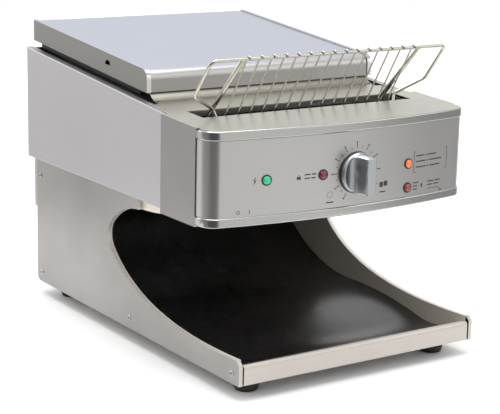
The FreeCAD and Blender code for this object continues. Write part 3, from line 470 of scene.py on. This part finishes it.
def lid():
    made = refined("lid", FINISH["lid"], 0.35 * MM)
    # The side walls and the front get darker copies of the steel, painted shade, and the ends of the front
    # hem a brighter one, a painted highlight.
    finish_faces(made, FINISH["lid_side"], lambda normal, centre: abs(normal.x) > SIDE_WALL)
    finish_faces(made, FINISH["lid_front"], lambda normal, centre: normal.y < LID_FRONT)
    finish_faces(made, FINISH["rim"],
                 lambda normal, centre: normal.y < LID_HEM and abs(centre.x) > LID_HEM_X)
    refined("lid_liner", FINISH["liner"], 0.25 * MM)


def head_cover():
    made = refined("head_cover", FINISH["head_top"], 0.35 * MM)
    # The side walls and the cove get darker copies of the top's steel: painted shade.
    finish_faces(made, FINISH["cheek"], lambda normal, centre: abs(normal.x) > SIDE_WALL)
    finish_faces(made, FINISH["cove"], lambda normal, centre: normal.y < COVE_FRONT and centre.y > COVE_Y)


side_sheets("left")
side_sheets("right")
sheets([("front_lip", "lip", "casing_steel", 0.5),
        ("toast_chute", "chute", "black_chute", 0.3),
        ("rear_panel", "panel", "casing_steel", 0.25),
        ("upper_rear_panel", "panel", "casing_steel", 0.25),
        ("rear_vent_cover", "panel", "casing_steel", 0.4)])
lid()
head_cover()
sheets([("fascia", "fascia", "fascia_satin", 0.2),
        ("head_trim_top", "trim", "trim_steel", 0),
        ("head_trim_bottom", "trim", "trim_steel", 0),
        ("head_base", "inner", "inner_steel", 0.25),
        ("gearmotor", "motor", "motor_case", 0.8),
        ("fan_frame", "plastic", "black_plastic", 0.6),
        ("mains_gland", "plastic", "black_plastic", 0.5),
        ("power_switch", "plastic", "black_plastic", 0.5),
        ("mode_switch", "plastic", "black_plastic", 0.5),
        ("power_rocker", "gloss_plastic", "dark_plastic", 0.9),
        ("mode_button", "gloss_plastic", "dark_plastic", 0.9),
        ("lamp_holders", "plastic", "black_plastic", 0.3)])


# ---------------------------------------------------------------- screws and feet

SCREW_HEAD = 1.5 * MM            # the height of a screw's head
SCREW_SEGMENTS = 36
SOCKET_SIDES = 6
SOCKET_REACH = 0.56              # the socket's corners, as a share of the head's radius


def scaled(shares, radius):
    """A profile in metres from shares of a screw head's radius and height."""
    return [(radius * out, SCREW_HEAD * up) for out, up in shares]


def screw_head(radius):
    """A dome with a six-sided socket, standing on z = 0."""
    dome = scaled([(1, 0.25), (0.93, 0.6), (0.80, 0.86), (0.68, 1)], radius)
    socket = scaled([(0.60, 1), (0.58, 0.9), (SOCKET_REACH, 0.1)], radius)
    profile = [(radius, -0.2 * MM)] + dome + socket
    socket_rings = range(len(profile) - len(socket), len(profile))
    return turned(profile, SCREW_SEGMENTS, SOCKET_SIDES, socket_rings)


def socket_shade_plug(radius):
    """A black plug in the bottom of the socket: painted shade in the recess."""
    profile = scaled([(SOCKET_REACH, 0.1), (SOCKET_REACH, 0.4), (0.5, 0.5)], radius)
    return turned(profile, SCREW_SEGMENTS, SOCKET_SIDES, range(len(profile)))


def screws(node, outwards):
    """Screws on a node's solids, with a black plug in each socket for painted shade; outwards(low) gives the
    way that a head points.
    """
    heads, socket_shades = [], []
    for low, high in islands(node):
        way = Vector(outwards(low))
        axis = max(range(3), key=lambda i: abs(way[i]))
        foot = (low + high) / 2
        foot[axis] = (high if way[axis] > 0 else low)[axis] - SCREW_HEAD * way[axis]
        radius = max((high - low)[other] for other in range(3) if other != axis) / 2
        heads.append(placed(screw_head(radius), facing(foot, way)))
        socket_shades.append(placed(socket_shade_plug(radius), facing(foot, way)))
    add_piece(node + "_finished", mesh_of(node + "_heads", *joined(heads)), FINISH["screw"], "casing",
              [node])
    # black plugs in the sockets: painted shade
    add_piece(node + "_socket_shades", mesh_of(node + "_socket_shades", *joined(socket_shades)), FINISH["plastic"], "casing")


def feet():
    profile = [(13.0, 0.0), (15.2, 0.6), (16.2, 2.2), (17.6, 8.0), (17.2, 8.8), (17.8, 9.6), (18.4, 15.0),
               (18.9, 20.6), (18.3, 21.8), (6.0, 22.0), (3.0, 22.0), (3.0, 26.0)]
    parts = []
    for low, high in islands("rubber_feet"):
        rings = [(radius * MM, low.z + height * MM) for radius, height in profile]
        middle = (low + high) / 2
        parts.append(placed(turned(rings, segments=64), Matrix.Translation((middle.x, middle.y, 0))))
    add_piece("rubber_feet_finished", mesh_of("feet", *joined(parts)), FINISH["rubber"], "casing",
              ["rubber_feet"])


screws("case_screws", lambda low: (1 if low.x > 0 else -1, 0, 0))
screws("fan_screws", lambda low: (0, 1, 0))
screws("motor_screws", lambda low: (1, 0, 0))
feet()


# ---------------------------------------------------------------- feed rack

WIRE, THIN, BAR = 2.4 * MM, 1.2 * MM, 3.2 * MM   # radii of the frame's wire, the thin wires and the side bars
WIRE_BEND = 9 * MM
WELD_GAP = 0.03 * MM                             # between the rail and the hooks round it
RACK_TILT = math.radians(58.8)                   # the thin wires' slope from level
RACK_DROP = 91 * MM                              # from the rail down to the frame's foot
rack_low, rack_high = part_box("rack_frame")
RAIL = Vector((0, rack_low.y + 2.8 * MM, rack_high.z - WIRE))


def rack_loop():
    """The frame's bent wire, as two halves that meet in the middle of its rail and its foot."""
    rail_end = RAIL + Vector((rack_high.x - WIRE, 0, 0))
    arm_end = rail_end + Vector((0, 40.4 * MM, -51.4 * MM))
    knee = RAIL + Vector((155 * MM, 60 * MM, -74 * MM))
    foot_z = rack_low.z + WIRE
    foot = Vector((0, RAIL.y + (RAIL.z - foot_z) / math.tan(RACK_TILT), foot_z))
    half = [RAIL, rail_end, arm_end, knee, foot + Vector((150 * MM, 0, 0)), foot]
    other_half = [Vector((-spot.x, spot.y, spot.z)) for spot in half]
    return [tube(rounded_path(spots, WIRE_BEND), WIRE, sides=16) for spots in (half, other_half)]


def side_bar(side):
    """A straight bar that is welded under one end of the rail."""
    start = RAIL + Vector((side * 147 * MM, 0, 0))
    top = start + Vector((0, 1 * MM, -1 * MM))
    low = start + Vector((0, 86 * MM, -88 * MM))
    return tube([top, top.lerp(low, 0.5), low], BAR, sides=16)


def thin_wire(x):
    """A wire that is hooked round the rail and runs down the slope."""
    slope = Vector((0, math.cos(RACK_TILT), -math.sin(RACK_TILT)))
    outside = Vector((0, math.sin(RACK_TILT), math.cos(RACK_TILT)))
    centre = RAIL + Vector((x, 0, 0))
    clear = WIRE + THIN + WELD_GAP
    hook_turns = [math.radians(degrees) for degrees in range(150, 0, -10)]
    hook = [centre + (outside * math.cos(a) - slope * math.sin(a)) * clear for a in hook_turns]
    start = centre + outside * clear
    length = RACK_DROP / math.sin(RACK_TILT) + 5 * MM
    run = [start + slope * (length * share) for share in (0, 0.3, 0.6, 0.9, 1)]
    return tube(hook + run, THIN, sides=10)


def rack():
    frame_parts = rack_loop() + [side_bar(side) for side in (-1, 1)]
    wire_parts = [thin_wire((low.x + high.x) / 2) for low, high in islands("rack_wires")]
    for node, parts in (("rack_frame", frame_parts), ("rack_wires", wire_parts)):
        add_piece(node + "_finished", mesh_of(node, *joined(parts)), FINISH["wire"], "rack",
                  [node])


rack()


# ---------------------------------------------------------------- fascia's surface and controls

HEAD_CORNER = 24.5 * MM                # outer radius of the head's two front corners
FRONT_TURN = math.radians(10.68)       # how far the bowed front has turned where it meets a corner
FASCIA_INSET = 1.5 * MM                # from the trims' outside to the fascia's
BOW = (half_width("head_cover") - HEAD_CORNER) / math.sin(FRONT_TURN) + HEAD_CORNER - FASCIA_INSET
BOW_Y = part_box("fascia")[0].y + BOW
LENS_RADIUS, LENS_HEIGHT = 5.7 * MM, 2.3 * MM
LENS_OUT = 1.3 * MM                    # from the fascia to the foot of a lens


def on_face(x, z, out=0.0):
    """A point out in front of the fascia, and the way the fascia faces there."""
    way = Vector((x / BOW, -math.sqrt(1 - (x / BOW) ** 2), 0))
    return Vector((0, BOW_Y, z)) + way * (BOW + out), way


def lens(radius, height):
    """A faceted lens: rings of triangles, each ring turned half a step, under a point."""
    rings = [(1.0, 0.0), (0.93, 0.35), (0.70, 0.72), (0.36, 0.93)]
    segments = 14
    verts, faces = [], []
    for number, (reach, rise) in enumerate(rings):
        for turn in turns(segments):
            half_step = math.pi / segments * (number % 2)
            verts.append(around(radius * reach, turn + half_step, height * rise))
    top = len(verts)
    verts.append(Vector((0, 0, height)))
    for ring in range(len(rings) - 1):
        low, high = ring * segments, (ring + 1) * segments
        for step in range(segments):
            after = (step + 1) % segments
            if ring % 2 == 0:
                faces.append((low + step, low + after, high + step))
                faces.append((high + step, low + after, high + after))
            else:
                faces.append((low + step, high + after, high + step))
                faces.append((low + step, low + after, high + after))
    last = (len(rings) - 1) * segments
    faces += [(last + step, last + (step + 1) % segments, top) for step in range(segments)]
    faces.append(tuple(range(segments))[::-1])
    return verts, faces


def lens_material(name, colour, glow):
    made = surface(name, colour, 0.12, mottle=0.25, mottle_scale=350, bump=0.05, bump_scale=300,
                   Coat_Weight=0.6)
    principled = made.node_tree.nodes["Principled BSDF"]
    principled.inputs["Emission Color"].default_value = (*colour, 1)
    principled.inputs["Emission Strength"].default_value = glow
    return made


def lamp(node, colour, glow):
    middle = middle_of(node)
    point, way = on_face(middle.x, middle.z, LENS_OUT)
    shape = placed(lens(LENS_RADIUS, LENS_HEIGHT), facing(point, way))
    add_piece(node + "_finished", mesh_of(node, *shape, smooth=False), lens_material(node, colour, glow),
              "casing", [node])


lamp("power_lamp", (0.02, 0.42, 0.20), 0.5)
lamp("fault_lamp", (0.20, 0.015, 0.03), 0.12)
lamp("heat_lamp", (0.85, 0.16, 0.04), 0.55)
lamp("saver_lamp", (0.30, 0.05, 0.025), 0.12)


knob_low, knob_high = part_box("speed_knob")
KNOB_RADIUS, KNOB_DEPTH = (knob_high.x - knob_low.x) / 2, knob_high.y - knob_low.y
KNOB_X, KNOB_Z = middle_of("speed_knob").x, middle_of("speed_knob").z
KNOB_BASE = facing(Vector((KNOB_X, knob_high.y, KNOB_Z)), (0, -1, 0))
GRIP_HALF = 7.6 * MM                   # half of the grip bar's thickness, with its rounded shoulder
FLANK = 9 * MM                         # how high the flanks stand beside the grip bar
SCOOP = 2.6 * MM                       # how deep the flanks are hollowed


def clamped(value):
    return min(1.0, max(0.0, value))


def knob_height(x):
    """How high the knob's front stands at a distance x across its grip bar."""
    side = clamped((abs(x) - GRIP_HALF) / (KNOB_RADIUS - GRIP_HALF))
    flank = FLANK - SCOOP * math.sin(math.pi * side) + 1 * MM * (1 - side)
    shoulder = clamped((abs(x) - GRIP_HALF + 0.3 * MM) / (1.2 * MM))
    return flank + (KNOB_DEPTH - flank) * (1 - shoulder ** 2)


def knob():
    """A turned knob with scooped flanks and a full-height grip bar, standing along +Z."""
    rings, segments = 48, 168
    skirt = [(KNOB_RADIUS * 0.97, 0.0), (KNOB_RADIUS, 0.6 * MM), (KNOB_RADIUS, 5.2 * MM),
             (KNOB_RADIUS - 0.5 * MM, 5.9 * MM), (KNOB_RADIUS - 2.6 * MM, 8.3 * MM)]
    verts = [around(reach, turn, rise) for reach, rise in skirt for turn in turns(segments)]
    for ring in range(rings + 1):
        reach = (KNOB_RADIUS - 3.2 * MM) * (1 - ring / rings)
        verts += [around(reach, turn, knob_height(reach * math.cos(turn))) for turn in turns(segments)]
    return verts, skin(len(skirt) + rings + 1, segments, top_cap=False)


def shadow_ring():
    """The dark gap under the knob's rim."""
    radius = KNOB_RADIUS + 0.8 * MM
    profile = [(radius, -0.5 * MM), (radius, 0.5 * MM), (radius - 0.6 * MM, 0.75 * MM), (10 * MM, 0.75 * MM)]
    return turned(profile, segments=96)


add_piece("speed_knob_finished", mesh_of("knob", *placed(knob(), KNOB_BASE)), FINISH["knob"], "knob",
          ["speed_knob"])
add_piece("knob_shadow_ring", mesh_of("knob_ring", *placed(shadow_ring(), KNOB_BASE)), FINISH["plastic"],
          "casing")


# ---------------------------------------------------------------- printed marks

INK_OUT = 0.10 * MM                    # the ink's front, out from the fascia
INK_DEPTH = 0.06 * MM
PRINT = 1.7 * MM                       # the height of the bars that stand for small print


def ink_shape(points):
    """A flat printed shape given by its (x, z) corners on the fascia."""
    front = [on_face(x, z, INK_OUT)[0] for x, z in points]
    back = [on_face(x, z, INK_OUT - INK_DEPTH)[0] for x, z in points]
    count = len(points)
    faces = [tuple(range(count)), tuple(range(count, 2 * count))[::-1]]
    faces += [(i, (i + 1) % count, count + (i + 1) % count, count + i) for i in range(count)]
    return front + back, faces


def stroke(a, b, width):
    a, b = Vector(a), Vector(b)
    across = (b - a).normalized().orthogonal() * (width / 2)
    return ink_shape([tuple(a + across), tuple(b + across), tuple(b - across), tuple(a - across)])


def outline(points, width, closed=True):
    ends = points[1:] + points[:1] if closed else points[1:]
    return [stroke(a, b, width) for a, b in zip(points, ends)]


def corners(x, z, size, shares):
    """Points given as shares of an icon's size from its middle."""
    return [(x + across * size, z + up * size) for across, up in shares]


def arc(x, z, radius, start, end, count):
    """Points on a circle from one angle to another, in degrees."""
    steps = [math.radians(start + (end - start) * i / count) for i in range(count + 1)]
    return [(x + radius * math.cos(a), z + radius * math.sin(a)) for a in steps]


def circle(x, z, radius, count):
    return arc(x, z, radius, 0, 360, count)[:-1]


def bars(x, z, rows, gap, height=PRINT):
    """Short bars in rows, in place of small print. A row lists its bars' widths in mm."""
    made = []
    for number, widths in enumerate(rows):
        start, level = x, z - number * gap
        for width in widths:
            made.append(stroke((start, level), (start + width * MM, level), height))
            start += (width + 2.2) * MM
    return made


def toast_icon(x, z, size, filled):
    body = corners(x, z, size, [(-1, -1), (1, -1), (1, 0.3), (1.15, 0.8), (0.6, 1.2), (-0.6, 1.2),
                                (-1.15, 0.8), (-1, 0.3)])
    return [ink_shape(body)] if filled else outline(body, 0.45 * MM)


def bolt_icon(x, z, size):
    upper = corners(x, z, size, [(0.5, 1.3), (-0.6, -0.1), (-0.05, 0)])
    lower = corners(x, z, size, [(0.05, 0), (0.6, 0.1), (-0.5, -1.3)])
    return [ink_shape(upper), ink_shape(lower)]


def padlock_icon(x, z, size):
    body = corners(x, z, size, [(-1, -1), (1, -1), (1, 0.3), (-1, 0.3)])
    shackle = arc(x, z + 0.3 * size, 0.65 * size, 0, 180, 10)
    return [ink_shape(body)] + outline(shackle, 0.5 * MM, closed=False)


def leaf_icon(x, z, size):
    left = arc(x + 0.4 * size, z, size, 130, 230, 8)
    right = arc(x - 0.9 * size, z, size, -50, 50, 8)
    return [ink_shape(left + right)]


def dial():
    """Ticks round the knob, every second one long with a dot at its end."""
    made = []
    centre = Vector((KNOB_X, KNOB_Z + 1 * MM))
    inner, short, long, dot_reach = 32.5 * MM, 35.5 * MM, 39.5 * MM, 40.7 * MM
    for step in range(21):
        angle = math.radians(240 - 15 * step)
        way = Vector((math.cos(angle), math.sin(angle)))
        if step % 2 == 0:
            made.append(stroke(centre + way * inner, centre + way * long, 1.0 * MM))
            dot = centre + way * dot_reach
            made.append(ink_shape(circle(dot.x, dot.y, 1.15 * MM, 10)))
        else:
            made.append(stroke(centre + way * inner, centre + way * short, 0.8 * MM))
    return made


def power_marks(x, z):
    return bolt_icon(x - 17 * MM, z, 4.6 * MM)


def fault_marks(x, z):
    words = bars(x - 29 * MM, z + 2.4 * MM, [(9, 7), (8, 7)], 5 * MM)
    return padlock_icon(x - 38 * MM, z - 0.5 * MM, 3.0 * MM) + words


def shade_marks():
    """A pale slice at the left of the dial and two dark ones at its right, each over a bar."""
    pale_x, pale_z = KNOB_X - 43 * MM, KNOB_Z - 27 * MM
    dark_x, dark_z = KNOB_X + 48 * MM, KNOB_Z - 22 * MM
    made = toast_icon(pale_x, pale_z, 3.6 * MM, False)
    made += bars(pale_x - 6 * MM, pale_z - 10 * MM, [(12,)], 0)
    made += toast_icon(dark_x - 3.4 * MM, dark_z, 3.2 * MM, True)
    made += toast_icon(dark_x + 4.4 * MM, dark_z + 1 * MM, 3.2 * MM, True)
    return made + bars(dark_x - 6 * MM, dark_z - 10 * MM, [(11,)], 0)


def heat_marks(x, z):
    """A framed table of three rows of print."""
    left, right, top, bottom = x + 11 * MM, x + 78 * MM, z + 15 * MM, z - 14 * MM
    made = outline([(left, top), (right, top), (right, bottom), (left, bottom)], 0.8 * MM)
    return made + bars(left + 4 * MM, top - 6 * MM, [(16, 3, 17), (19, 3, 25), (20, 3, 21)], 8 * MM)


def saver_marks(x, z):
    """Print, a leaf and more print over an arrow that points down to the right."""
    made = bars(x + 11 * MM, z + 5 * MM, [(11,), (9,), (8,)], 4.6 * MM, 1.6 * MM)
    made += leaf_icon(x + 29 * MM, z, 4.6 * MM)
    made += bars(x + 40 * MM, z + 4 * MM, [(13, 11), (10, 11)], 4.8 * MM, 1.6 * MM)
    arrow = [(x + 40 * MM, z - 6.5 * MM), (x + 60 * MM, z - 6.5 * MM), (x + 68 * MM, z - 10.5 * MM)]
    made += outline(arrow, 0.7 * MM, closed=False)
    tip = corners(*arrow[-1], MM, [(2.6, -1.3), (-1.2, 1.5), (-2.2, -1.6)])
    return made + [ink_shape(tip)]


def switch_marks():
    """The off ring and the on stroke over the power switch."""
    x, z = middle_of("power_switch").x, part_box("fascia")[0].z + 6.5 * MM
    off = outline(circle(x - 24 * MM, z, 2.3 * MM, 14), 0.8 * MM)
    return off + [stroke((x - 8 * MM, z - 2.6 * MM), (x - 8 * MM, z + 2.6 * MM), 1.0 * MM)]


def fascia_marks():
    made = dial()
    for node, marks in (("power_lamp", power_marks), ("fault_lamp", fault_marks)):
        made += marks(middle_of(node).x, middle_of(node).z)
    made += shade_marks()
    for node, marks in (("heat_lamp", heat_marks), ("saver_lamp", saver_marks)):
        made += marks(middle_of(node).x, middle_of(node).z)
    return made + switch_marks()


add_piece("fascia_marks", mesh_of("marks", *joined(fascia_marks()), smooth=False), FINISH["ink"], "casing")


# ---------------------------------------------------------------- camera, light and floor

FOCAL_LENGTH, SENSOR_WIDTH = 110.8, 36                  # in the camera's own millimetres
CAMERA_AT = Vector((-1.248, -1.871, 0.709))
YAW, PITCH, ROLL = math.radians(34.06), math.radians(13.32), math.radians(1.27)
TO_CAMERA = Vector((CAMERA_AT.x, CAMERA_AT.y, 0)).normalized()

# a way in which the room is dimmer, the cosines between which it dims, and the share of its light kept there
DIM_BEHIND_CAMERA = (Vector((-0.62, -0.78, -0.10)), 0.78, 0.88, 0.12)
DIM_RIGHT = (Vector((0.95, -0.3, -0.1)), 0.76, 0.98, 0.45)
DIM_LEFT = (Vector((-0.97, 0.1, -0.1)), 0.76, 0.93, 0.34)

FLOOR_FRONT, FLOOR_BACK, FLOOR_HALF = 0.5, -9.0, 0.75   # along the way to the camera, and across it
FLOOR_SHEET = 0.2 * MM


def camera():
    data = bpy.data.cameras.new("camera")
    data.sensor_width = SENSOR_WIDTH
    data.lens = FOCAL_LENGTH
    data.shift_x, data.shift_y = -0.003, 0.0014
    ahead = Vector((math.sin(YAW) * math.cos(PITCH), math.cos(YAW) * math.cos(PITCH), -math.sin(PITCH)))
    level = Vector((math.cos(YAW), -math.sin(YAW), 0))
    upright = level.cross(ahead)
    right = level * math.cos(ROLL) + upright * math.sin(ROLL)
    up = upright * math.cos(ROLL) - level * math.sin(ROLL)
    turn = Matrix((right, up, -ahead)).transposed().to_4x4()
    made = new_object("camera", data)
    made.matrix_world = Matrix.Translation(CAMERA_AT) @ turn
    bpy.context.scene.camera = made


def softbox(name, at, aim, size, power):
    data = bpy.data.lights.new(name, "AREA")
    data.shape = "RECTANGLE"
    data.size, data.size_y = size
    data.energy = power
    new_object(name, data).matrix_world = facing(Vector(at), Vector(at) - Vector(aim))


def studio():
    """A white room whose light is dimmer from behind the camera, from the right and from the left."""
    world = bpy.data.worlds.new("studio")
    bpy.context.scene.world = world
    world.use_nodes = True
    tree = world.node_tree
    background = tree.nodes["Background"]
    way = add_node(tree, "ShaderNodeTexCoord").outputs["Generated"]
    walls = 1.0
    for middle, start, end, kept in (DIM_BEHIND_CAMERA, DIM_RIGHT, DIM_LEFT):
        dot = add_node(tree, "ShaderNodeVectorMath", {0: way, 1: middle}, operation="DOT_PRODUCT")
        dimming = ramp(tree, dot.outputs["Value"], start, end, 1.0, kept, interpolation_type="SMOOTHSTEP")
        walls = add_node(tree, "ShaderNodeMath", {0: walls, 1: dimming}, operation="MULTIPLY").outputs[0]
    path = add_node(tree, "ShaderNodeLightPath")
    strength = add_node(tree, "ShaderNodeMix", {"Factor": path.outputs["Is Camera Ray"], "A": walls,
                                                "B": 1.0}, data_type="FLOAT")
    tree.links.new(strength.outputs["Result"], background.inputs["Strength"])
    background.inputs["Color"].default_value = (1, 1, 1, 1)


def floor_material():
    """Pale, with a painted glow that grows away from the toaster, so that it meets the white room without an
    edge while the floor round the toaster stays darker.
    """
    material = surface("pale_floor_painted_glow", (0.93, 0.93, 0.93), 0.7, mottle=0.01, mottle_scale=1.5, bump=0.02)
    tree = material.node_tree
    principled = tree.nodes["Principled BSDF"]
    where = add_node(tree, "ShaderNodeTexCoord").outputs["Object"]
    away = add_node(tree, "ShaderNodeVectorMath", {0: where}, operation="LENGTH")
    # painted light: the floor glows more the further it is from the toaster
    glow = ramp(tree, away.outputs["Value"], 0.45, 1.6, 0.0, 0.3)
    principled.inputs["Emission Color"].default_value = (1, 1, 1, 1)
    tree.links.new(glow, principled.inputs["Emission Strength"])
    return material


def floor():
    """A white sheet that ends between the toaster and the camera."""
    across = Vector((-TO_CAMERA.y, TO_CAMERA.x, 0)) * FLOOR_HALF
    front, back = TO_CAMERA * FLOOR_FRONT, TO_CAMERA * FLOOR_BACK
    top = [front - across, front + across, back + across, back - across]
    bottom = [spot - Vector((0, 0, FLOOR_SHEET)) for spot in top]
    faces = [(0, 1, 2, 3), (7, 6, 5, 4)] + [(i, 4 + i, 4 + (i + 1) % 4, (i + 1) % 4) for i in range(4)]
    made = new_object("floor", mesh_of("floor", top + bottom, faces, smooth=False))
    made.data.materials.append(floor_material())


camera()
studio()
floor()
softbox("overhead", at=(-0.1, -0.1, 2.4), aim=(0, 0, 0.2), size=(2.0, 2.0), power=52)
softbox("from_left", at=(-1.5, 2.2, 1.2), aim=(0, 0, 0.2), size=(1.6, 1.4), power=14)
softbox("from_right", at=(1.9, -1.9, 1.5), aim=(0, 0, 0.25), size=(1.6, 1.3), power=7)
bpy.context.scene.view_settings.view_transform = "Standard"
